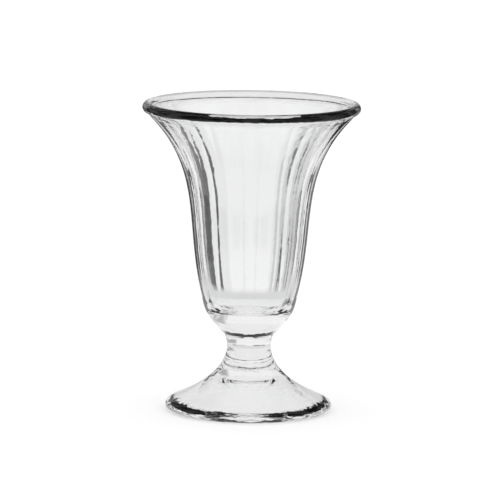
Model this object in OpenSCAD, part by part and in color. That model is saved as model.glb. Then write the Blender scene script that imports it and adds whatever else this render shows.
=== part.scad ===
// Parfait glass of pressed clear glass: a foot, a short stem, a bowl with flat
// flutes on its outside, and a round fire-polished rim.
// Millimetres, +Z up. The origin is the centre of the ring the foot stands on.

/* [Rim] */
// Height of the glass, from the table to the top of the rim
glass_h = 146; // [130:1:160]
// Widest diameter, over the rim
rim_d = 102.6; // [94:0.2:110]
// Thickness of the round bead of the rim
bead_d = 4.8; // [4.2:0.1:6]
// Wall where it runs into the bead
lip_wall = 3.6; // [2.6:0.1:4]
// Distance from the middle of the bead to the outer face of the wall below it
bead_set = 1.92; // [1.4:0.02:2.05]
// Plain round band between the bead and the tops of the flutes
band_h = 1.2; // [0.8:0.1:3]

/* [Bowl] */
// Number of flat flutes round the bowl
flute_count = 16; // [10:1:24]
// Height of each flute's rounded top
arch_h = 2.4; // [1.5:0.1:6]
// Height over which the flutes fade out at the neck
fade_h = 2.2; // [1.5:0.1:4]
// How far the round pressing stands over the ridges between the flutes
ridge_cover = 0.3; // [0.2:0.05:0.6]
// Width of the body across its flats, where the shoulder runs into the flare
body_d = 47.4; // [42:0.2:54]
// Height at which the shoulder runs into the flare
body_h = 60; // [54:1:68]
// Width of the neck, where the bowl meets the stem
neck_d = 23.4; // [21:0.2:27]
// Height of the neck
neck_h = 36.5; // [33:0.5:40]
// Wall of the bowl at the body
body_wall = 3.7; // [3:0.1:4.6]
// Solid glass between the neck and the floor inside the bowl
floor_t = 11.5; // [6:0.5:13]
// Width of the flat of the floor inside the bowl
floor_d = 22; // [16:0.5:26]

/* [Stem] */
// Narrowest diameter of the stem
stem_d = 20.75; // [18:0.25:22.5]
// Diameter where the stem stands on the foot
stem_foot_d = 23.8; // [22:0.2:27]

/* [Foot] */
// Diameter of the foot
foot_d = 78.5; // [70:0.5:86]
// Height of the foot
foot_h = 24; // [20:0.5:28]
// Thickness of the round heel of the foot
heel_d = 5.2; // [4.4:0.1:6]
// Width of the ring that the foot stands on
bearing_w = 2; // [1.2:0.1:3]
// Height of the hollow under the foot
hollow_h = 13; // [8:0.5:13.5]
// Width of the flat top of the hollow
hollow_top_d = 19; // [14:0.5:22]

/* [Hidden] */

// Rings along each curve, and sides of each turned surface in the preview
$fn = 120;
shoulder_steps = 12;
flare_steps = 18;
stem_steps = 10;
foot_steps = 16;
hollow_steps = 12;
// Angle of each step along a round edge
edge_step = 10;
// Above 1, the rings crowd towards the neck and the lip, where the flutes end
crowding = 1.4;
overrun = 2;

// Rise and run of the lip's outer face, and of the body's side
lip_lean_share = 1;
body_lean_share = 0.22;
neck_lean_share = 1;
// Reach of each curve's two handles, as shares of its height, or of its run where
// a handle lies level: the floor's first, and the hollow's at its top and its foot
shoulder_shares = [0.45, 0.51];
flare_shares = [0.385, 0.314];
floor_shares = [0.7, 0.6];
stem_shares = [0.32, 0.28];
foot_shares = [0.68, 0.115];
hollow_shares = [0.15, 0.32];
// Height of the hollow's lower handle, as a share of the hollow's height
hollow_foot_share = 0.07;
// Fall for each run of the foot's top where it turns over into the heel
heel_turn_share = 1.6;
// Angle up the round heel at which the foot's top runs into it
heel_edge_angle = 50;

rim_r = rim_d / 2;
bead_r = bead_d / 2;
bead_c = [rim_r - bead_r, glass_h - bead_r];
heel_r = heel_d / 2;
heel_c = [foot_d / 2 - heel_r, heel_r];

// Unit vectors of the lip: up along its outer face, and out from that face
lip_up = unit([lip_lean_share, 1]);
lip_out = [lip_up.y, -lip_up.x];

// Rim and bowl join on a level face halfway down the plain band under the bead
lip_h = glass_h - bead_d - band_h / 2;
lip_mid = bead_c + lip_out * bead_set;
lip = [lip_mid.x - (lip_mid.y - lip_h) * lip_lean_share, lip_h];
lip_in = [lip.x - lip_wall / lip_up.y, lip_h];

flute_angle = 360 / flute_count;
flute_top = lip_h - band_h / 2;

neck = [neck_d / 2, neck_h];
body = [body_d / 2, body_h];
floor_h = neck_h + floor_t;

// Outer curves of the bowl, measured across the flats, from both ends to the body
shoulder_curve = [
    neck,
    neck + (body_h - neck_h) * shoulder_shares[0] * [neck_lean_share, 1],
    body - (body_h - neck_h) * shoulder_shares[1] * [body_lean_share, 1],
    body
];
flare_curve = [
    lip,
    lip - (lip_h - body_h) * flare_shares[1] * [lip_lean_share, 1],
    body + (lip_h - body_h) * flare_shares[0] * [body_lean_share, 1],
    body
];

// Inner wall of the bowl at the body, square off the outer face
body_up = unit([body_lean_share, 1]);
body_in = body + body_wall * [-body_up.y, body_up.x];
floor_edge = [floor_d / 2, floor_h];
floor_curve = [
    floor_edge,
    floor_edge + (body_in.x - floor_edge.x) * floor_shares[0] * [1, 0],
    body_in - (body_in.y - floor_h) * floor_shares[1] * [body_lean_share, 1],
    body_in
];
inner_flare_curve = [
    lip_in,
    lip_in - (lip_h - body_in.y) * flare_shares[1] * [lip_lean_share, 1],
    body_in + (lip_h - body_in.y) * flare_shares[0] * [body_lean_share, 1],
    body_in
];

// The stem's two handles share one radius, which puts the waist at stem_d
stem_r = stem_d / 2;
stem_foot = [stem_foot_d / 2, foot_h];
stem_pull = (8 * stem_r - stem_foot.x - neck.x) / 6;
stem_curve = [
    stem_foot,
    [stem_pull, foot_h + (neck_h - foot_h) * stem_shares[0]],
    [stem_pull, neck_h - (neck_h - foot_h) * stem_shares[1]],
    neck
];

// The foot's top leaves the stem in the direction in which the stem arrives
heel_edge = on_circle(heel_c, heel_r, heel_edge_angle);
stem_lean = (stem_foot.x - stem_pull) / ((neck_h - foot_h) * stem_shares[0]);
foot_fall = foot_h - heel_edge.y;
foot_curve = [
    stem_foot,
    stem_foot + foot_fall * foot_shares[0] * [stem_lean, -1],
    heel_edge + foot_fall * foot_shares[1] * [-1 / heel_turn_share, 1],
    heel_edge
];
bearing_in = heel_c.x - bearing_w;
hollow_top = [hollow_top_d / 2, hollow_h];
hollow_curve = [
    hollow_top,
    hollow_top + (bearing_in - hollow_top.x) * hollow_shares[0] * [1, 0],
    [bearing_in - (bearing_in - hollow_top.x) * hollow_shares[1], hollow_h * hollow_foot_share],
    [bearing_in, 0]
];

function unit(v) = v / norm(v);

function on_circle(c, r, angle) = c + r * [cos(angle), sin(angle)];

// Arc from one angle to another, with points at about every edge_step
function arc(c, r, from, to) =
    let (steps = ceil(abs(to - from) / edge_step))
    [for (i = [0:steps]) on_circle(c, r, from + (to - from) * i / steps)];

// Point of a cubic curve p at t, from 0 to 1
function on_curve(p, t) =
    p[0] * pow(1 - t, 3) + 3 * p[1] * t * pow(1 - t, 2) + 3 * p[2] * t * t * (1 - t) + p[3] * pow(t, 3);

function curve(p, steps, pace = 1) = [for (i = [0:steps]) on_curve(p, pow(i / steps, pace))];

function tail(list) = [for (i = [1:len(list) - 1]) list[i]];

function reversed(list) = [for (i = [len(list) - 1:-1:0]) list[i]];

// Bowl's side across the flats, from neck to lip
side = concat(
    curve(shoulder_curve, shoulder_steps, crowding),
    tail(reversed(curve(flare_curve, flare_steps, crowding)))
);

// How far the round pressing stands off the flats at radius r and height z
ridge_share = 1 / cos(flute_angle / 2) - 1;
function cover(r, z) =
    (r * ridge_share + ridge_cover)
    * max(0, min(1, (z - neck_h) / fade_h))
    * max(0, min(1, (flute_top - z) / arch_h));

pressing = [for (p = side) [p.x + cover(p.x, p.y), p.y]];

// Angles on the bead where the wall's outer and inner faces run into it
bead_out_angle = atan2(lip_out.y, lip_out.x) - acos(bead_set / bead_r);
bead_in_angle = atan2(lip_out.y, lip_out.x) + 180 + acos((lip_wall - bead_set) / bead_r);

module rim() {
    color("aliceblue", 0.5)
    rotate_extrude()
    polygon(concat(
        [lip],
        arc(bead_c, bead_r, bead_out_angle, 0),
        tail(arc(bead_c, bead_r, 0, 90)),
        tail(arc(bead_c, bead_r, 90, bead_in_angle)),
        [lip_in]
    ));
}

module flute_cutter() {
    reach = rim_r + overrun;
    width = 2 * reach * tan(flute_angle / 2);
    rotate([90, 0, 0])
    linear_extrude(height = width, center = true)
    polygon(concat(side, [[reach, lip_h], [reach, neck_h]]));
}

module bowl() {
    color("lightcyan", 0.5)
    difference() {
        rotate_extrude() polygon(concat([[0, neck_h]], pressing, [[0, lip_h]]));
        for (i = [0:flute_count - 1]) rotate(i * flute_angle) flute_cutter();
        rotate_extrude()
        polygon(concat(
            [[0, floor_h]],
            curve(floor_curve, shoulder_steps),
            tail(reversed(curve(inner_flare_curve, flare_steps))),
            [[lip_in.x, lip_h + overrun], [0, lip_h + overrun]]
        ));
    }
}

module stem() {
    color("azure", 0.5)
    rotate_extrude()
    polygon(concat([[0, foot_h]], curve(stem_curve, stem_steps), [[0, neck_h]]));
}

module foot() {
    color("aliceblue", 0.5)
    rotate_extrude()
    polygon(concat(
        [[0, hollow_h], [0, foot_h]],
        curve(foot_curve, foot_steps),
        tail(arc(heel_c, heel_r, heel_edge_angle, 0)),
        tail(arc(heel_c, heel_r, 0, -90)),
        reversed(curve(hollow_curve, hollow_steps))
    ));
}

rim();
bowl();
stem();
foot();
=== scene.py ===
"""Parfait glass of clear pressed glass: rim, fluted bowl, stem and foot, in a white studio."""

import logging
import math
from abc import ABC, abstractmethod
from collections.abc import Mapping, Sequence
from dataclasses import dataclass, field
from enum import Enum
from typing import ClassVar

import bpy
from mathutils import Matrix, Vector

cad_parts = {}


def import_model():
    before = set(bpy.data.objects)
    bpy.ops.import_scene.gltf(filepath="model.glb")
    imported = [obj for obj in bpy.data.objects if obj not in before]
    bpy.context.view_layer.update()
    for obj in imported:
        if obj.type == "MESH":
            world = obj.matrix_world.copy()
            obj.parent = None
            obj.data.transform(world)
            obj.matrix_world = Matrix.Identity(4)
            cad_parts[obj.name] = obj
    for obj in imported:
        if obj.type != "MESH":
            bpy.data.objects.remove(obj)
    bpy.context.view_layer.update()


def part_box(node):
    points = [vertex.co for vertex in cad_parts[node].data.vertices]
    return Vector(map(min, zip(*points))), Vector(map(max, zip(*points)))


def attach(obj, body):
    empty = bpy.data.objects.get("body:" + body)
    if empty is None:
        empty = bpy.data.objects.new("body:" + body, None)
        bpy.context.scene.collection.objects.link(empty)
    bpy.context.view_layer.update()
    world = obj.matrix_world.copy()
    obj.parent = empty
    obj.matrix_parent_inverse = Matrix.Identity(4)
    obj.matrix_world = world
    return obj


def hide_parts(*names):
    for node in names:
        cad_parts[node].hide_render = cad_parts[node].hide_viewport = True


LOG = logging.getLogger("parfait_glass")
MM = 0.001
BODY = "root"
WHITE = (1.0, 1.0, 1.0, 1.0)


class Socket:
    """An output of a node, with arithmetic that adds Math nodes."""

    def __init__(self, graph: "Graph", link: bpy.types.NodeSocket) -> None:
        """Wraps one output.

        Args:
            graph: The graph that new nodes are added to.
            link: The node's output.
        """
        self.graph = graph
        self.link = link

    def math(self, operation: str, *others: "Socket | float") -> "Socket":
        """Adds a Math node whose first value is this socket.

        Args:
            operation: The node's operation.
            others: The node's further values, as sockets or numbers.

        Returns:
            The node's result.
        """
        return self.graph.math(operation, self, *others)

    def __add__(self, other: "Socket | float") -> "Socket":
        """This value plus another."""
        return self.graph.math("ADD", self, other)

    def __radd__(self, other: float) -> "Socket":
        """A number plus this value."""
        return self.graph.math("ADD", other, self)

    def __sub__(self, other: "Socket | float") -> "Socket":
        """This value less another."""
        return self.graph.math("SUBTRACT", self, other)

    def __rsub__(self, other: float) -> "Socket":
        """A number less this value."""
        return self.graph.math("SUBTRACT", other, self)

    def __mul__(self, other: "Socket | float") -> "Socket":
        """This value times another."""
        return self.graph.math("MULTIPLY", self, other)

    def __rmul__(self, other: float) -> "Socket":
        """A number times this value."""
        return self.graph.math("MULTIPLY", other, self)

    def __truediv__(self, other: "Socket | float") -> "Socket":
        """This value over another."""
        return self.graph.math("DIVIDE", self, other)

    def __rtruediv__(self, other: float) -> "Socket":
        """A number over this value."""
        return self.graph.math("DIVIDE", other, self)

    def __gt__(self, other: "Socket | float") -> "Socket":
        """One where this value is the greater, zero elsewhere."""
        return self.graph.math("GREATER_THAN", self, other)

    def rise(self, low: float, high: float) -> "Socket":
        """Adds a smooth step.

        Args:
            low: Value up to which the step is zero.
            high: Value from which it is one.

        Returns:
            The step.
        """
        return self.graph.add(
            "ShaderNodeMapRange",
            {"interpolation_type": "SMOOTHSTEP"},
            {"Value": self, "From Min": low, "From Max": high},
        )


class Graph:
    """A node tree that is written as expressions."""

    def __init__(self, tree: bpy.types.NodeTree) -> None:
        """Wraps a tree.

        Args:
            tree: A shader or geometry node tree.
        """
        self.tree = tree

    def node(
        self,
        kind: str,
        settings: Mapping[str, object] | None = None,
        values: Mapping[str | int, object] | None = None,
    ) -> bpy.types.Node:
        """Adds a node, applies its settings, then fills its sockets.

        Args:
            kind: The node's type.
            settings: Properties of the node, set first.
            values: Input names or numbers, each with a Socket to link or a plain value.

        Returns:
            The node.
        """
        node = self.tree.nodes.new(kind)
        for name, setting in (settings or {}).items():
            setattr(node, name, setting)
        for key, value in (values or {}).items():
            if isinstance(value, Socket):
                self.tree.links.new(value.link, node.inputs[key])
            else:
                node.inputs[key].default_value = value
        return node

    def add(
        self,
        kind: str,
        settings: Mapping[str, object] | None = None,
        values: Mapping[str | int, object] | None = None,
        output: str | int = 0,
    ) -> Socket:
        """Adds a node and returns one of its outputs.

        Args:
            kind: The node's type.
            settings: Properties of the node, set first.
            values: Input names or numbers, each with a Socket to link or a plain value.
            output: The name or number of the output.

        Returns:
            The wrapped output.
        """
        return Socket(self, self.node(kind, settings, values).outputs[output])

    def math(self, operation: str, *values: "Socket | float") -> Socket:
        """Adds a Math node.

        Args:
            operation: The node's operation.
            values: Its values in order, as sockets or numbers.

        Returns:
            The node's result.
        """
        return self.add("ShaderNodeMath", {"operation": operation}, dict(enumerate(values)))


def new_material(name: str) -> tuple[bpy.types.Material, Graph]:
    """Makes an empty material.

    Args:
        name: Its name.

    Returns:
        The material and its graph, which has no nodes yet.
    """
    material = bpy.data.materials.new(name)
    material.use_nodes = True
    material.node_tree.nodes.clear()
    return material, Graph(material.node_tree)


def place_object(name: str, data: bpy.types.Mesh | bpy.types.Camera) -> bpy.types.Object:
    """Adds an object to the scene, at the origin.

    Args:
        name: Its name.
        data: Its mesh or camera.

    Returns:
        The object.
    """
    added = bpy.data.objects.new(name, data)
    bpy.context.scene.collection.objects.link(added)
    return added


@dataclass(frozen=True)
class Station:
    """One ring of a turned piece.

    Attributes:
        radius: Distance from the axis, across the flats where the piece is fluted.
        height: Height above the table.
        cover: How far the round pressing stands off the flats there.
        seam: Whether the ring bounds a face that is fused to the next piece.
    """

    radius: float
    height: float
    cover: float = 0.0
    seam: bool = False


def bezier(points: Sequence[Vector], steps: int) -> list[Vector]:
    """Points along a cubic curve.

    Args:
        points: Start, two handles and end.
        steps: Number of stretches.

    Returns:
        One point more than there are stretches.
    """
    start, first, second, end = points
    result = []
    for index in range(steps + 1):
        t = index / steps
        s = 1.0 - t
        result.append(start * s**3 + first * (3 * s * s * t) + second * (3 * s * t * t) + end * t**3)
    return result


def arc(centre: Vector, radius: float, angles: Sequence[float], step: float) -> list[Vector]:
    """Points along an arc.

    Args:
        centre: Middle of the circle.
        radius: Its radius.
        angles: Angles in degrees that the arc passes, with its start and its end.
        step: Largest angle between two points.

    Returns:
        The points, with both ends.
    """
    turns = [angles[0]]
    for start, stop in zip(angles, angles[1:]):
        count = math.ceil(abs(stop - start) / step)
        turns += [start + (stop - start) * index / count for index in range(1, count + 1)]
    return [centre + radius * Vector((math.cos(a), math.sin(a))) for a in map(math.radians, turns)]


def stations(points: Sequence[Vector], seam: bool = False) -> list[Station]:
    """Plain round rings, one for each point of an outline."""
    return [Station(point.x, point.y, seam=seam) for point in points]


@dataclass(frozen=True)
class FusedSeam:
    """The face at which one part of the glass runs on into the next, where light goes straight through.

    Attributes:
        name: Name of the material.
    """

    name: str = "fused_seam"

    def build(self) -> bpy.types.Material:
        """Makes the material.

        Returns:
            A fully transparent material.
        """
        material, graph = new_material(self.name)
        clear = graph.add("ShaderNodeBsdfTransparent", None, {"Color": WHITE})
        graph.node("ShaderNodeOutputMaterial", None, {"Surface": clear})
        return material


@dataclass(frozen=True)
class PressedGlass:
    """Clear pressed glass with the slight waviness that the mould and the fire polish leave.

    Attributes:
        name: Name of the material.
        tint: Colour of light that has passed through the surface.
        thick_tint: The same where the pattern calls for thicker glass.
        wave_size: Length of one wave in metres.
        wave_height: Height of the waves in metres.
        wave_detail: Number of finer layers of waves.
        wave_blend: Strength of each finer layer against the one before it.
        squash: How many times longer the waves are round the glass than up it.
        patch_share: Patches of the tint and the polish for each wave.
        patch_detail: Number of finer layers of patches.
        roughness: Roughest patches of the polish.
        index: Refractive index of the glass.
    """

    name: str
    tint: tuple[float, float, float] = (0.975, 0.978, 0.977)
    thick_tint: tuple[float, float, float] = (0.955, 0.96, 0.958)
    wave_size: float = 6 * MM
    wave_height: float = 0.12 * MM
    wave_detail: float = 2.0
    wave_blend: float = 0.45
    squash: float = 1.0
    patch_share: float = 0.35
    patch_detail: float = 1.0
    roughness: float = 0.012
    index: float = 1.5

    def build(self) -> bpy.types.Material:
        """Makes the material.

        Returns:
            A refracting material with procedural waves, tint and polish.
        """
        material, graph = new_material(self.name)
        place = graph.add(
            "ShaderNodeVectorMath",
            {"operation": "MULTIPLY"},
            {0: graph.add("ShaderNodeTexCoord", None, None, "Object"), 1: (1.0, 1.0, self.squash)},
        )
        waves = graph.add(
            "ShaderNodeTexNoise",
            None,
            {
                "Vector": place,
                "Scale": 1 / self.wave_size,
                "Detail": self.wave_detail,
                "Roughness": self.wave_blend,
            },
        )
        patches = graph.add(
            "ShaderNodeTexNoise",
            None,
            {"Vector": place, "Scale": self.patch_share / self.wave_size, "Detail": self.patch_detail},
        )
        bump = graph.add(
            "ShaderNodeBump", None, {"Height": waves, "Strength": 1.0, "Distance": self.wave_height}
        )
        colour = graph.add(
            "ShaderNodeMix",
            {"data_type": "RGBA"},
            {"Factor": patches, "A": (*self.tint, 1.0), "B": (*self.thick_tint, 1.0)},
            "Result",
        )
        surface = graph.add(
            "ShaderNodeBsdfPrincipled",
            None,
            {
                "Base Color": colour,
                "Roughness": patches * self.roughness,
                "Normal": bump,
                "IOR": self.index,
                "Transmission Weight": 1.0,
            },
        )
        graph.node("ShaderNodeOutputMaterial", None, {"Surface": surface})
        return material


@dataclass
class TurnedGlass:
    """Geometry nodes that turn an outline into a round or fluted piece of glass.

    Attributes:
        flutes: Number of panels round a fluted piece.
        set_back: Distance behind the glass's axis of the axis round which each panel is crowned.
        columns: Faces across each panel.
        ridge_radius: Radius of the soft ridge between two panels.
        crease: Angle in degrees above which an edge stays sharp.
        melt: Share of the cover over which the fire polish rounds the flutes' ends.
        tree: The node tree, which is built with the rest.
    """

    TREE: ClassVar[str] = "turned_glass"
    COVER: ClassVar[str] = "cover"
    SEAM: ClassVar[str] = "seam"
    SEAM_LIMIT: ClassVar[float] = 0.99
    HAIR: ClassVar[float] = 0.001 * MM
    INPUTS: ClassVar[dict[str, str]] = {
        "Outline": "NodeSocketGeometry",
        "Rings": "NodeSocketInt",
        "Flutes": "NodeSocketInt",
        "Columns": "NodeSocketInt",
        "Ridge Radius": "NodeSocketFloat",
        "Set Back": "NodeSocketFloat",
        "Crease": "NodeSocketFloat",
        "Melt": "NodeSocketFloat",
        "Glass": "NodeSocketMaterial",
        "Seam": "NodeSocketMaterial",
    }

    flutes: int
    set_back: float
    columns: int = 12
    ridge_radius: float = 2 * MM
    crease: float = 28.0
    melt: float = 0.15
    tree: bpy.types.NodeTree = field(init=False)

    def __post_init__(self) -> None:
        """Builds the tree."""
        self.tree = self._build_tree()

    def _build_tree(self) -> bpy.types.NodeTree:
        """Lays out the tree: a grid whose columns go round and whose rows are the outline's rings.

        Returns:
            The tree.
        """
        tree = bpy.data.node_groups.new(self.TREE, "GeometryNodeTree")
        graph = Graph(tree)
        for name, kind in self.INPUTS.items():
            tree.interface.new_socket(name, in_out="INPUT", socket_type=kind)
        tree.interface.new_socket("Glass", in_out="OUTPUT", socket_type="NodeSocketGeometry")
        entry = graph.node("NodeGroupInput")
        outline, rings, flutes, columns, ridge, back, crease, melt, glass, seam = (
            Socket(graph, entry.outputs[name]) for name in self.INPUTS
        )
        grid = graph.add(
            "GeometryNodeMeshGrid", None, {"Vertices X": flutes * columns + 1.0, "Vertices Y": rings}
        )
        index = graph.add("GeometryNodeInputIndex")
        column = ((index + 0.5) / rings).math("FLOOR")
        ring = index - column * rings

        # Place round the glass: the flat's number, and the angle from its middle, crowded at the ridges
        half = math.pi / flutes
        across = column / columns
        flat = (across + 0.5).math("FLOOR")
        angle = half * ((across - flat) * math.pi).math("SINE")
        azimuth = flat * 2.0 * half + angle

        here = graph.node("ShaderNodeSeparateXYZ", None, {0: self._sample(graph, outline, ring)})
        across_flats, height = (Socket(graph, here.outputs[name]) for name in ("X", "Z"))
        cover = self._sample(graph, outline, ring, self.COVER)
        fluted = self._fluted(angle, half, across_flats, cover, ridge, back)
        radius = fluted.math("SMOOTH_MIN", across_flats + cover, cover * melt)
        place = graph.add(
            "ShaderNodeCombineXYZ",
            None,
            {"X": radius * azimuth.math("COSINE"), "Y": radius * azimuth.math("SINE"), "Z": height},
        )
        placed = graph.add("GeometryNodeSetPosition", None, {"Geometry": grid, "Position": place})
        marked = graph.add(
            "GeometryNodeStoreNamedAttribute",
            {"data_type": "FLOAT", "domain": "POINT"},
            {"Geometry": placed, "Name": self.SEAM, "Value": self._sample(graph, outline, ring, self.SEAM)},
        )
        closed = graph.add("GeometryNodeMergeByDistance", None, {"Geometry": marked, "Distance": self.HAIR})
        graph.node("NodeGroupOutput", None, {0: self._finished(graph, closed, crease, glass, seam)})
        return tree

    def _fluted(
        self, angle: Socket, half: Socket, across_flats: Socket, cover: Socket, ridge: Socket, back: Socket
    ) -> Socket:
        """Radius of the crowned panels and of the soft ridges that join them.

        Args:
            angle: Angle from the middle of the panel.
            half: Half the angle that a panel takes up.
            across_flats: Distance from the axis to the middle of the panel.
            cover: How far the round pressing stands off the flats.
            ridge: Radius of the ridge.
            back: Distance of the panel's own axis behind the glass's.

        Returns:
            The radius.
        """
        plane = across_flats / angle.math("COSINE")
        inset = across_flats - ridge
        reach = inset / half.math("COSINE")
        from_ridge = half - angle.math("ABSOLUTE")
        side = reach * from_ridge.math("SINE")
        bulge = (ridge * ridge - side * side).math("MAXIMUM", 0.0).math("SQRT")
        soft = reach * from_ridge.math("COSINE") + bulge
        on_ridge = angle.math("ABSOLUTE") > (inset * half.math("TANGENT") / across_flats).math("ARCTANGENT")
        crown = across_flats + back
        offset = back * angle.math("SINE")
        panel = (crown * crown - offset * offset).math("SQRT") - back * angle.math("COSINE")
        return panel + on_ridge * (cover > self.HAIR) * (back / crown) * (soft - plane)

    def _finished(
        self, graph: Graph, shape: Socket, crease: Socket, glass: Socket, seam: Socket
    ) -> Socket:
        """Shades a shape smooth but for its creases, and gives it its two finishes.

        Args:
            graph: The tree's graph.
            shape: The closed shape.
            crease: Angle above which an edge stays sharp.
            glass: Finish of its surfaces.
            seam: Finish of its fused faces.

        Returns:
            The finished shape.
        """
        smooth = graph.add("GeometryNodeSetShadeSmooth", {"domain": "FACE"}, {"Geometry": shape})
        bend = graph.add("GeometryNodeInputMeshEdgeAngle", None, None, "Unsigned Angle")
        creased = graph.add(
            "GeometryNodeSetShadeSmooth",
            {"domain": "EDGE"},
            {"Geometry": smooth, "Selection": bend > crease, "Shade Smooth": False},
        )
        realized = graph.add("GeometryNodeRealizeInstances", None, {"Geometry": creased})
        dressed = graph.add("GeometryNodeSetMaterial", None, {"Geometry": realized, "Material": glass})
        on_seam = self._attribute(graph, self.SEAM) > self.SEAM_LIMIT
        return graph.add(
            "GeometryNodeSetMaterial", None, {"Geometry": dressed, "Selection": on_seam, "Material": seam}
        )

    @staticmethod
    def _attribute(graph: Graph, name: str) -> Socket:
        """A named number of the geometry at hand."""
        return graph.add(
            "GeometryNodeInputNamedAttribute", {"data_type": "FLOAT"}, {"Name": name}, "Attribute"
        )

    def _sample(self, graph: Graph, outline: Socket, ring: Socket, name: str | None = None) -> Socket:
        """Reads the outline at a ring.

        Args:
            graph: The tree's graph.
            outline: The outline's geometry.
            ring: Number of the ring.
            name: A number stored on the outline, or None for its position.

        Returns:
            The sampled value.
        """
        if name is None:
            kind, value = "FLOAT_VECTOR", graph.add("GeometryNodeInputPosition")
        else:
            kind, value = "FLOAT", self._attribute(graph, name)
        return graph.add(
            "GeometryNodeSampleIndex",
            {"data_type": kind, "domain": "POINT"},
            {"Geometry": outline, "Value": value, "Index": ring},
        )

    def turn(
        self, name: str, outline: Sequence[Station], glass: bpy.types.Material, seam: bpy.types.Material
    ) -> bpy.types.Object:
        """Turns an outline into a closed mesh.

        Args:
            name: Name of the new piece.
            outline: Its rings in order, from the axis or closed on themselves.
            glass: Finish of its surfaces.
            seam: Finish of its fused faces.

        Returns:
            The piece, a plain mesh at the origin.
        """
        mesh = bpy.data.meshes.new(f"{name}_outline")
        mesh.from_pydata([(s.radius, 0.0, s.height) for s in outline], [], [])
        for attribute, values in (
            (self.COVER, [s.cover for s in outline]),
            (self.SEAM, [float(s.seam) for s in outline]),
        ):
            mesh.attributes.new(attribute, "FLOAT", "POINT").data.foreach_set("value", values)
        source = place_object(f"{name}_outline", mesh)
        modifier = source.modifiers.new(self.TREE, "NODES")
        modifier.node_group = self.tree
        inputs = {
            "Rings": len(outline),
            "Flutes": self.flutes,
            "Columns": self.columns,
            "Ridge Radius": self.ridge_radius,
            "Set Back": self.set_back,
            "Crease": math.radians(self.crease),
            "Melt": self.melt,
            "Glass": glass,
            "Seam": seam,
        }
        for item in self.tree.interface.items_tree:
            if item.in_out == "INPUT" and item.name in inputs:
                modifier[item.identifier] = inputs[item.name]
        evaluated = source.evaluated_get(bpy.context.evaluated_depsgraph_get())
        turned = bpy.data.meshes.new_from_object(evaluated)
        source.modifiers.remove(modifier)
        bpy.data.objects.remove(source)
        if signed_volume(turned) < 0.0:
            turned.flip_normals()
        turned.name = name
        return place_object(name, turned)


def signed_volume(mesh: bpy.types.Mesh) -> float:
    """Works out the volume that a closed mesh holds.

    Args:
        mesh: The mesh.

    Returns:
        The volume, negative where the faces point inwards.
    """
    mesh.calc_loop_triangles()
    corners = [vertex.co for vertex in mesh.vertices]
    total = 0.0
    for triangle in mesh.loop_triangles:
        a, b, c = (corners[index] for index in triangle.vertices)
        total += a.dot(b.cross(c))
    return total / 6.0


@dataclass(frozen=True)
class Lip:
    """The place under the bead where the rim is fused to the bowl.

    Attributes:
        rim_radius: Outer radius of the bead.
        glass_height: Height of the glass.
        height: Height of the fused face.
        bead_radius: Radius of the bead's section.
        bead_set: Distance from the middle of the bead to the wall's outer face.
        wall: Thickness of the wall there.
        lean: Run for each rise of the wall.
    """

    rim_radius: float
    glass_height: float
    height: float
    bead_radius: float = 2.4 * MM
    bead_set: float = 1.92 * MM
    wall: float = 3.6 * MM
    lean: float = 1.0

    @property
    def up(self) -> Vector:
        """Unit vector up along the wall."""
        return Vector((self.lean, 1.0)).normalized()

    @property
    def out(self) -> Vector:
        """Unit vector out from the wall's outer face."""
        return Vector((self.up.y, -self.up.x))

    @property
    def bead(self) -> Vector:
        """Middle of the bead's section."""
        return Vector((self.rim_radius - self.bead_radius, self.glass_height - self.bead_radius))

    @property
    def outer(self) -> Vector:
        """Outer edge of the fused face."""
        middle = self.bead + self.out * self.bead_set
        return Vector((middle.x - (middle.y - self.height) * self.lean, self.height))

    @property
    def inner(self) -> Vector:
        """Inner edge of the fused face."""
        return self.outer - Vector((self.wall / self.up.y, 0.0))


class Part(ABC):
    """One part of the glass.

    Attributes:
        PIECE: Name of the piece.
        NODE: The CAD node that the piece stands for.
        finish: Its glass.
    """

    PIECE: ClassVar[str]
    NODE: ClassVar[str]
    finish: PressedGlass

    @abstractmethod
    def outline(self) -> list[Station]:
        """The part's rings in order, from the axis or closed on themselves."""

    def build(self, lathe: TurnedGlass, seam: bpy.types.Material) -> bpy.types.Object:
        """Turns the part, and rides it on the glass in place of its CAD node.

        Args:
            lathe: The tree that turns outlines.
            seam: Finish of the fused faces.

        Returns:
            The piece.
        """
        piece = lathe.turn(self.PIECE, self.outline(), self.finish.build(), seam)
        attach(piece, BODY)
        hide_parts(self.NODE)
        return piece


@dataclass
class Rim(Part):
    """The round, fire-polished bead at the mouth.

    Attributes:
        lip: Where it is fused to the bowl.
        arc_step: Largest angle between two rings of the bead, in degrees.
        finish: Its glass, a little darker and wavier than the rest.
    """

    PIECE = "rim_bead"
    NODE = "rim"

    lip: Lip
    arc_step: float = 5.0
    finish: PressedGlass = PressedGlass(
        "rim_glass",
        tint=(0.9, 0.903, 0.902),
        thick_tint=(0.86, 0.863, 0.862),
        wave_size=10 * MM,
        wave_height=0.22 * MM,
        squash=3.0,
    )

    def outline(self) -> list[Station]:
        """Rings of the bead and the plain band under it.

        Returns:
            The rings, from the inner edge of the fused face round the bead to its start.
        """
        lip = self.lip
        lean = math.degrees(math.atan2(lip.out.y, lip.out.x))
        start = lean - math.degrees(math.acos(lip.bead_set / lip.bead_radius))
        stop = lean + 180.0 + math.degrees(math.acos((lip.wall - lip.bead_set) / lip.bead_radius))
        bead = arc(lip.bead, lip.bead_radius, (start, 0.0, 90.0, stop), self.arc_step)
        fused = stations([lip.inner, lip.outer], seam=True)
        return [*fused, *stations(bead), fused[0]]


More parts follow.
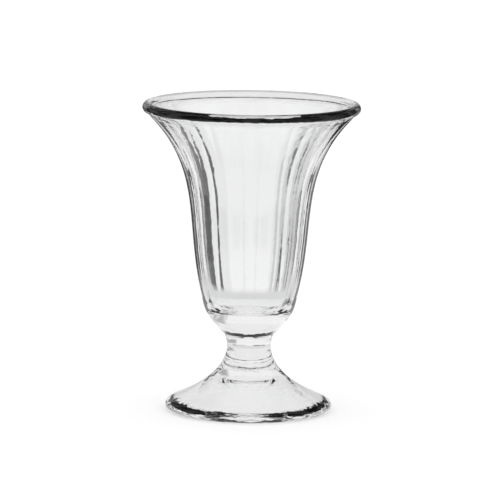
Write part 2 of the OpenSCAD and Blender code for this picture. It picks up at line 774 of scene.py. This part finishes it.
@dataclass
class Bowl(Part):
    """The flared bowl, with flats outside, round and smooth inside.

    Attributes:
        lip: Where it is fused to the rim.
        neck_height: Height of the face where it is fused to the stem.
        flutes: Number of flats.
        neck_radius: Radius of the neck.
        body_radius: Radius across the flats where the shoulder runs into the flare.
        body_height: Height of that place.
        body_wall: Thickness of the wall there.
        floor_thickness: Solid glass between the neck and the floor inside.
        floor_radius: Radius of the flat of the floor.
        band: Plain round band between the fused face and the tops of the flutes.
        arch_height: Height of each flute's rounded top.
        fade_height: Height over which the flutes fade out at the neck.
        ridge_cover: How far the round pressing stands over the ridges.
        neck_lean: Run for each rise of the side at the neck.
        body_lean: Run for each rise of the side at the body.
        shoulder_shares: Reach of the shoulder's handles, as shares of its height.
        flare_shares: Reach of the flare's handles, as shares of its height.
        floor_shares: Reach of the inner corner's handles, as shares of its run and its height.
        panel_back: Distance behind the glass's axis of the axis round which each flat is crowned.
        shoulder_rings: Rings along the shoulder.
        flare_rings: Rings along the flare.
        finish: Its glass.
    """

    PIECE = "fluted_bowl"
    NODE = "bowl"

    lip: Lip
    neck_height: float
    flutes: int = 16
    neck_radius: float = 11.7 * MM
    body_radius: float = 23.7 * MM
    body_height: float = 60 * MM
    body_wall: float = 3.7 * MM
    floor_thickness: float = 11.5 * MM
    floor_radius: float = 11 * MM
    band: float = 0.6 * MM
    arch_height: float = 2.4 * MM
    fade_height: float = 2.2 * MM
    ridge_cover: float = 0.3 * MM
    neck_lean: float = 1.0
    body_lean: float = 0.22
    shoulder_shares: tuple[float, float] = (0.45, 0.51)
    flare_shares: tuple[float, float] = (0.385, 0.314)
    floor_shares: tuple[float, float] = (0.7, 0.6)
    panel_back: float = 15 * MM
    shoulder_rings: int = 60
    flare_rings: int = 110
    finish: PressedGlass = PressedGlass("bowl_glass", wave_height=0.05 * MM)

    def cover(self, radius: float, height: float) -> float:
        """How far the round pressing stands off the flats, which ends the flutes at neck and lip.

        Args:
            radius: Radius across the flats.
            height: Height above the table.

        Returns:
            The distance in metres.
        """
        ridge = radius * (1.0 / math.cos(math.pi / self.flutes) - 1.0) + self.ridge_cover
        low = (height - self.neck_height) / self.fade_height
        high = (self.lip.height - self.band - height) / self.arch_height
        return ridge * max(0.0, min(1.0, low)) * max(0.0, min(1.0, high))

    def outer(self) -> list[Vector]:
        """Points of the outer side across the flats, from neck to lip.

        Returns:
            The points.
        """
        neck = Vector((self.neck_radius, self.neck_height))
        body = Vector((self.body_radius, self.body_height))
        rise, climb = self.body_height - self.neck_height, self.lip.height - self.body_height
        body_up, lip_up = Vector((self.body_lean, 1.0)), Vector((self.lip.lean, 1.0))
        shoulder = (
            neck,
            neck + rise * self.shoulder_shares[0] * Vector((self.neck_lean, 1.0)),
            body - rise * self.shoulder_shares[1] * body_up,
            body,
        )
        flare = (
            body,
            body + climb * self.flare_shares[0] * body_up,
            self.lip.outer - climb * self.flare_shares[1] * lip_up,
            self.lip.outer,
        )
        return [*bezier(shoulder, self.shoulder_rings), *bezier(flare, self.flare_rings)[1:]]

    def inner(self) -> list[Vector]:
        """Points of the inner side, from lip to the edge of the floor.

        Returns:
            The points.
        """
        up = Vector((self.body_lean, 1.0)).normalized()
        body = Vector((self.body_radius, self.body_height)) + self.body_wall * Vector((-up.y, up.x))
        floor = Vector((self.floor_radius, self.neck_height + self.floor_thickness))
        climb = self.lip.height - body.y
        body_up, lip_up = Vector((self.body_lean, 1.0)), Vector((self.lip.lean, 1.0))
        flare = (
            self.lip.inner,
            self.lip.inner - climb * self.flare_shares[1] * lip_up,
            body + climb * self.flare_shares[0] * body_up,
            body,
        )
        well = (
            body,
            body - (body.y - floor.y) * self.floor_shares[1] * body_up,
            floor + Vector(((body.x - floor.x) * self.floor_shares[0], 0.0)),
            floor,
        )
        return [*bezier(flare, self.flare_rings), *bezier(well, self.shoulder_rings)[1:]]

    def outline(self) -> list[Station]:
        """Rings of the whole bowl, from the axis at the neck to the axis at the floor.

        Returns:
            The rings.
        """
        outer, inner = self.outer(), self.inner()
        side = [Station(p.x, p.y, self.cover(p.x, p.y)) for p in outer[1:-1]]
        return [
            *stations([Vector((0.0, self.neck_height)), outer[0]], seam=True),
            *side,
            *stations([outer[-1], inner[0]], seam=True),
            *stations([*inner[1:], Vector((0.0, inner[-1].y))]),
        ]


@dataclass
class Stem(Part):
    """The short, solid, waisted stem.

    Attributes:
        foot_height: Height of the face where it is fused to the foot.
        neck_height: Height of the face where it is fused to the bowl.
        foot_radius: Radius where it stands on the foot.
        neck_radius: Radius where it meets the bowl.
        waist_radius: Radius of the waist.
        shares: Reach of its side's handles, as shares of its height.
        rings: Rings along its side.
        finish: Its glass.
    """

    PIECE = "waisted_stem"
    NODE = "stem"

    foot_height: float
    neck_height: float
    foot_radius: float
    neck_radius: float
    waist_radius: float = 10.375 * MM
    shares: tuple[float, float] = (0.32, 0.28)
    rings: int = 40
    finish: PressedGlass = PressedGlass("stem_glass", wave_height=0.04 * MM)

    @property
    def handle_radius(self) -> float:
        """Radius of both handles, which puts the middle of the curve at the waist's radius."""
        return (8 * self.waist_radius - self.foot_radius - self.neck_radius) / 6

    @property
    def foot_lean(self) -> float:
        """Run for each fall of the stem's side where it meets the foot."""
        drop = (self.neck_height - self.foot_height) * self.shares[0]
        return (self.foot_radius - self.handle_radius) / drop

    def outline(self) -> list[Station]:
        """Rings of the stem, from the axis at the foot to the axis at the neck.

        Returns:
            The rings.
        """
        height = self.neck_height - self.foot_height
        side = bezier(
            (
                Vector((self.foot_radius, self.foot_height)),
                Vector((self.handle_radius, self.foot_height + height * self.shares[0])),
                Vector((self.handle_radius, self.neck_height - height * self.shares[1])),
                Vector((self.neck_radius, self.neck_height)),
            ),
            self.rings,
        )
        return [
            *stations([Vector((0.0, self.foot_height)), side[0]], seam=True),
            *stations(side[1:-1]),
            *stations([side[-1], Vector((0.0, self.neck_height))], seam=True),
        ]


@dataclass
class Foot(Part):
    """The conical foot with its round heel, hollow underneath.

    Attributes:
        stem: The stem that stands on it.
        radius: Outer radius of the heel.
        heel_radius: Radius of the heel's section.
        bearing: Width of the ring that the foot stands on.
        hollow_height: Height of the hollow underneath.
        hollow_top_radius: Radius of the hollow's flat top.
        heel_edge_angle: Angle in degrees up the heel at which the foot's top runs into it.
        heel_turn: Fall for each run of the foot's top there.
        foot_shares: Reach of the top's handles, as shares of its fall.
        hollow_shares: Reach of the hollow's upper and lower handles, as shares of its run, and the
            height of the lower one, as a share of the hollow's.
        rings: Rings along the top, and along the hollow.
        arc_step: Largest angle between two rings of the heel, in degrees.
        finish: Its glass.
    """

    PIECE = "conical_foot"
    NODE = "foot"

    stem: Stem
    radius: float
    heel_radius: float = 2.6 * MM
    bearing: float = 2 * MM
    hollow_height: float = 13 * MM
    hollow_top_radius: float = 9.5 * MM
    heel_edge_angle: float = 50.0
    heel_turn: float = 1.6
    foot_shares: tuple[float, float] = (0.68, 0.115)
    hollow_shares: tuple[float, float, float] = (0.15, 0.32, 0.07)
    rings: int = 60
    arc_step: float = 5.0
    finish: PressedGlass = PressedGlass("foot_glass", wave_size=7 * MM, wave_height=0.2 * MM, squash=2.0)

    def outline(self) -> list[Station]:
        """Rings of the foot, from the axis at the stem round the heel to the axis in the hollow.

        Returns:
            The rings.
        """
        top = Vector((self.stem.foot_radius, self.stem.foot_height))
        heel = Vector((self.radius - self.heel_radius, self.heel_radius))
        round_heel = arc(heel, self.heel_radius, (self.heel_edge_angle, 0.0, -90.0), self.arc_step)
        edge = round_heel[0]
        fall = top.y - edge.y
        upper = bezier(
            (
                top,
                top + fall * self.foot_shares[0] * Vector((self.stem.foot_lean, -1.0)),
                edge + fall * self.foot_shares[1] * Vector((-1.0 / self.heel_turn, 1.0)),
                edge,
            ),
            self.rings,
        )
        bearing_in = heel.x - self.bearing
        run = bearing_in - self.hollow_top_radius
        top_share, foot_share, height_share = self.hollow_shares
        under = bezier(
            (
                Vector((bearing_in, 0.0)),
                Vector((bearing_in - run * foot_share, self.hollow_height * height_share)),
                Vector((self.hollow_top_radius + run * top_share, self.hollow_height)),
                Vector((self.hollow_top_radius, self.hollow_height)),
            ),
            self.rings,
        )
        return [
            *stations([Vector((0.0, top.y)), top], seam=True),
            *stations([*upper[1:], *round_heel[1:], *under, Vector((0.0, self.hollow_height))]),
        ]


class Repeat(Enum):
    """How often a card stands round the glass."""

    ONCE = "once"
    EVERY_SIDE = "left and right of all four sides"


@dataclass(frozen=True)
class Card:
    """A card that stands beside the glass and shows in it as a dark or grey streak.

    Attributes:
        level: Brightness of the card.
        start: Azimuth of one edge in degrees, from the view's own direction towards the right.
        stop: Azimuth of the other edge.
        low: Elevation of the lower edge in degrees.
        high: Elevation of the upper edge.
        repeat: How often it stands round the glass.
        soft: Half the width in degrees over which an edge fades.
    """

    level: float
    start: float
    stop: float
    low: float
    high: float
    repeat: Repeat = Repeat.EVERY_SIDE
    soft: float = 0.6


@dataclass
class Surroundings:
    """What the glass shows: a pale backdrop on every side with cards standing between.

    Attributes:
        cards: The cards, each laid over those before it.
        sky_level: Brightness of the room above the backdrop.
        high_level: Brightness of the backdrop.
        low_level: Brightness of the table in front of it.
        sky_edge: Elevation of the backdrop's upper edge in degrees.
        sky_soft: Half the width in degrees over which that edge fades.
        table_edge: Elevation of the backdrop's lower edge in degrees.
        table_soft: Half the width in degrees over which that edge fades.
        light_level: Brightness for everything that isn't seen in the glass.
        room_level: Brightness of what the outside of the glass mirrors, away from the windows.
        window_level: Brightness of the windows that it mirrors.
        window_half: Half the width of a window in degrees.
        window_soft: Half the width in degrees over which a window's edge fades.
        side_half: Half the angle in degrees that each of the four sides takes up.
        clutter_scale: Scale of the pale things that stand in the room.
        clutter_detail: Number of their finer layers.
        clutter_range: Values of the pattern between which they grow pale.
    """

    cards: tuple[Card, ...] = (
        Card(0.42, 24.0, 78.0, -2.0, 14.0, Repeat.ONCE, soft=4.0),
        Card(0.85, 3.4, 8.0, -17.5, -5.5, soft=1.0),
        Card(0.015, 8.0, 21.5, -17.5, -5.5),
        Card(0.04, 24.0, 36.5, -17.5, -5.5),
        Card(0.62, 5.5, 24.0, -17.5, -5.5, Repeat.ONCE),
        Card(0.06, 8.8, 10.6, -15.0, -7.6, Repeat.ONCE),
    )
    sky_level: float = 0.85
    high_level: float = 0.91
    low_level: float = 0.97
    sky_edge: float = 14.0
    sky_soft: float = 3.0
    table_edge: float = -8.0
    table_soft: float = 2.0
    light_level: float = 1.0
    room_level: float = 0.08
    window_level: float = 0.6
    window_half: float = 9.0
    window_soft: float = 3.0
    side_half: float = 45.0
    clutter_scale: float = 3.0
    clutter_detail: float = 3.0
    clutter_range: tuple[float, float] = (0.42, 0.62)

    @staticmethod
    def _past(value: Socket, edge: float, soft: float) -> Socket:
        """One past an edge, zero before it, with a soft change between."""
        return value.rise(edge - soft, edge + soft)

    def _between(self, value: Socket, low: float, high: float, soft: float) -> Socket:
        """One between two values, with soft edges.

        Args:
            value: The value to test.
            low: Lower limit.
            high: Upper limit.
            soft: Half the width of each edge.

        Returns:
            The mask.
        """
        return self._past(value, low, soft) * (1.0 - self._past(value, high, soft))

    def _picture(self, azimuth: Socket, folded: Socket, elevation: Socket) -> Socket:
        """What shows through the glass: table, backdrop and room, with the cards over them.

        Args:
            azimuth: Azimuth in degrees.
            folded: The same for each of the four sides, to its left and right alike.
            elevation: Elevation in degrees.

        Returns:
            The brightness.
        """
        backdrop = self._past(elevation, self.table_edge, self.table_soft)
        sky = self._past(elevation, self.sky_edge, self.sky_soft)
        picture = backdrop * (self.high_level - self.low_level) + self.low_level
        picture = picture + sky * (self.sky_level - picture)
        bearings = {Repeat.ONCE: azimuth, Repeat.EVERY_SIDE: folded}
        for card in self.cards:
            across = self._between(bearings[card.repeat], card.start, card.stop, card.soft)
            mask = across * self._between(elevation, card.low, card.high, card.soft)
            picture = picture + mask * (card.level - picture)
        return picture

    def _room(self, graph: Graph, direction: Socket, folded: Socket) -> Socket:
        """What the outside of the glass mirrors: a dim room with a window on each side and pale clutter.

        Args:
            graph: The world's graph.
            direction: Direction of the ray.
            folded: Azimuth for each of the four sides, to its left and right alike.

        Returns:
            The brightness.
        """
        window = self._between(folded, -self.window_half, self.window_half, self.window_soft)
        clutter = graph.add(
            "ShaderNodeTexNoise",
            None,
            {"Vector": direction, "Scale": self.clutter_scale, "Detail": self.clutter_detail},
        )
        dim, pale = self.clutter_range
        patches = graph.add(
            "ShaderNodeMapRange", None, {"Value": clutter, "From Min": dim, "From Max": pale}
        )
        lit = window.math("MAXIMUM", patches)
        return lit * (self.window_level - self.room_level) + self.room_level

    def build(self) -> bpy.types.World:
        """Makes the world: white to the camera, even light for the table, backdrop and cards for the glass.

        Returns:
            The world, set as the scene's own.
        """
        world = bpy.data.worlds.new("studio")
        bpy.context.scene.world = world
        world.use_nodes = True
        world.node_tree.nodes.clear()
        graph = Graph(world.node_tree)
        direction = graph.add("ShaderNodeTexCoord", None, None, "Generated")
        axes = graph.node("ShaderNodeSeparateXYZ", None, {0: direction})
        x, y, z = (Socket(graph, axes.outputs[name]) for name in ("X", "Y", "Z"))
        azimuth = graph.math("ARCTAN2", x, y).math("DEGREES")
        folded = azimuth.math("ABSOLUTE").math("PINGPONG", self.side_half)
        elevation = z.math("ARCSINE").math("DEGREES")
        picture = self._picture(azimuth, folded, elevation)
        room = self._room(graph, direction, folded)
        camera, mirrored, through = seen_by(graph)
        plain = 1.0 - mirrored - through
        level = camera + (1.0 - camera) * (through * picture + mirrored * room + plain * self.light_level)
        background = graph.add("ShaderNodeBackground", None, {"Color": WHITE, "Strength": level})
        graph.node("ShaderNodeOutputWorld", None, {"Surface": background})
        return world


def seen_by(graph: Graph) -> tuple[Socket, Socket, Socket]:
    """Tells the rays that show something from those that light it.

    Args:
        graph: A shader graph.

    Returns:
        One for camera rays, one for rays off gloss, and one for rays that come out of glass.
    """
    path = graph.node("ShaderNodeLightPath")
    camera, glossy, through = (
        Socket(graph, path.outputs[f"Is {kind} Ray"]) for kind in ("Camera", "Glossy", "Transmission")
    )
    return camera, glossy * (1.0 - through), through


@dataclass
class Studio:
    """White table, surroundings and the camera.

    Attributes:
        surroundings: The world.
        target_height: Height that the camera looks at.
        distance: Distance of the camera from there, in metres.
        elevation: Angle in degrees from which it looks down.
        roll: Angle in degrees by which the photograph leans.
        pixel: Length on the glass that one pixel shows.
        frame_pixels: Width of the picture in pixels.
        sensor: Width of the camera's sensor, in the camera's millimetres.
        clip_end: Distance up to which the camera sees, in metres.
        floor_size: Width of the table, in metres.
        table_colour: Share of the light that the table throws back, with the shadow in it.
        table_total: That share and the table's own glow together.
        table_white: Brightness of the table by the foot, as the glass shows it.
        table_outer: The same further out.
        table_mirrored: The same where the outside of the glass mirrors it.
        inner_edge: Radii between which the table by the foot gives way to the outer one.
        painted_shadow_place: Middle of a painted shadow on the table, a grey patch that only the glass
            shows.
        painted_shadow_radius: Radii between which the painted shadow fades.
        painted_shadow_level: Brightness of the painted shadow.
        near_radius: Radius up to which the glass shows the table.
        far_radius: Radius from which it shows the surroundings instead.
    """

    surroundings: Surroundings = field(default_factory=Surroundings)
    target_height: float = 76.04 * MM
    distance: float = 2.3
    elevation: float = 8.65
    roll: float = 0.7
    pixel: float = 0.4706 * MM
    frame_pixels: int = 500
    sensor: float = 36.0
    clip_end: float = 50.0
    floor_size: float = 6.0
    table_colour: float = 0.7
    table_total: float = 1.06
    table_white: float = 0.86
    table_outer: float = 0.7
    table_mirrored: float = 1.0
    inner_edge: tuple[float, float] = (100 * MM, 140 * MM)
    painted_shadow_place: tuple[float, float, float] = (62 * MM, 50 * MM, 0.0)
    painted_shadow_radius: tuple[float, float] = (18 * MM, 42 * MM)
    painted_shadow_level: float = 0.35
    near_radius: float = 200 * MM
    far_radius: float = 300 * MM

    def camera(self) -> bpy.types.Object:
        """Places the camera at the photograph's angle.

        Returns:
            The camera, set as the scene's own.
        """
        data = bpy.data.cameras.new("camera")
        data.sensor_width = self.sensor
        data.lens = self.distance / self.pixel / self.frame_pixels * self.sensor
        data.clip_end = self.clip_end
        camera = place_object("camera", data)
        rise = math.radians(self.elevation)
        target = Vector((0.0, 0.0, self.target_height))
        place = target + self.distance * Vector((0.0, -math.cos(rise), math.sin(rise)))
        look = (target - place).to_track_quat("-Z", "Y").to_matrix().to_4x4()
        turn = Matrix.Rotation(math.radians(self.roll), 4, "Z")
        camera.matrix_world = Matrix.Translation(place) @ look @ turn
        bpy.context.scene.camera = camera
        return camera

    def _table_in_glass(self, graph: Graph, place: Socket, radius: Socket, mirrored: Socket) -> Socket:
        """Brightness of the table as the glass shows it, with a painted shadow on it.

        Args:
            graph: The material's graph.
            place: Place on the table.
            radius: Its distance from the glass's axis.
            mirrored: One where the outside of the glass mirrors it.

        Returns:
            The brightness.
        """
        # Painted shadow: a soft grey round patch on the table that no object casts, shown only in the glass
        from_painted_shadow = graph.add(
            "ShaderNodeVectorMath", {"operation": "DISTANCE"}, {0: place, 1: self.painted_shadow_place}, "Value"
        )
        painted_shadow = 1.0 - from_painted_shadow.rise(*self.painted_shadow_radius)
        level = radius.rise(*self.inner_edge) * (self.table_outer - self.table_white) + self.table_white
        level = level + painted_shadow * (self.painted_shadow_level - level)
        return level + mirrored * (self.table_mirrored - level)

    def table_finish(self) -> bpy.types.Material:
        """Makes the table's material: white with a faint shadow, and clear to glass away from the foot.

        Returns:
            The material.
        """
        material, graph = new_material("white_table")
        _, mirrored, through = seen_by(graph)
        place = graph.add("ShaderNodeTexCoord", None, None, "Object")
        radius = graph.add("ShaderNodeVectorMath", {"operation": "LENGTH"}, {0: place}, "Value")
        far = radius.rise(self.near_radius, self.far_radius)
        matt = graph.add("ShaderNodeBsdfDiffuse", None, {"Color": (*(self.table_colour,) * 3, 1.0)})
        glow = graph.add(
            "ShaderNodeEmission", None, {"Color": WHITE, "Strength": self.table_total - self.table_colour}
        )
        shown = graph.add("ShaderNodeAddShader", None, {0: matt, 1: glow})
        level = self._table_in_glass(graph, place, radius, mirrored)
        white = graph.add("ShaderNodeEmission", None, {"Color": WHITE, "Strength": level})
        clear = graph.add("ShaderNodeBsdfTransparent", None, {"Color": WHITE})
        in_glass = graph.add("ShaderNodeMixShader", None, {0: far, 1: white, 2: clear})
        both = graph.add("ShaderNodeMixShader", None, {0: mirrored + through, 1: shown, 2: in_glass})
        graph.node("ShaderNodeOutputMaterial", None, {"Surface": both})
        return material

    def floor(self) -> bpy.types.Object:
        """Lays the white table.

        Returns:
            The table.
        """
        half = self.floor_size / 2
        corners = [(-half, -half, 0), (half, -half, 0), (half, half, 0), (-half, half, 0)]
        mesh = bpy.data.meshes.new("table")
        mesh.from_pydata(corners, [], [tuple(range(len(corners)))])
        mesh.materials.append(self.table_finish())
        table = place_object("table", mesh)
        return table

    def build(self) -> None:
        """Sets the view, the surroundings, the table and the camera."""
        bpy.context.scene.view_settings.view_transform = "Standard"
        self.camera()
        self.surroundings.build()
        self.floor()


def main() -> None:
    """Builds the studio, then the glass in place of the frame's nodes, part by part."""
    logging.basicConfig(level=logging.INFO, format="%(name)s: %(message)s")
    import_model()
    Studio().build()

    rim_low, rim_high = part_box("rim")
    stem_low, stem_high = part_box("stem")
    foot_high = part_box("foot")[1]
    rim = Rim(lip=Lip(rim_radius=rim_high.x, glass_height=rim_high.z, height=rim_low.z))
    bowl = Bowl(lip=rim.lip, neck_height=stem_high.z)
    stem = Stem(
        foot_height=stem_low.z,
        neck_height=stem_high.z,
        foot_radius=stem_high.x,
        neck_radius=bowl.neck_radius,
    )
    foot = Foot(stem=stem, radius=foot_high.x)

    lathe = TurnedGlass(flutes=bowl.flutes, set_back=bowl.panel_back)
    seam = FusedSeam().build()
    for part in (rim, bowl, stem, foot):
        piece = part.build(lathe, seam)
        LOG.info("%s: %d faces", piece.name, len(piece.data.polygons))


if __name__ == "__main__":
    main()
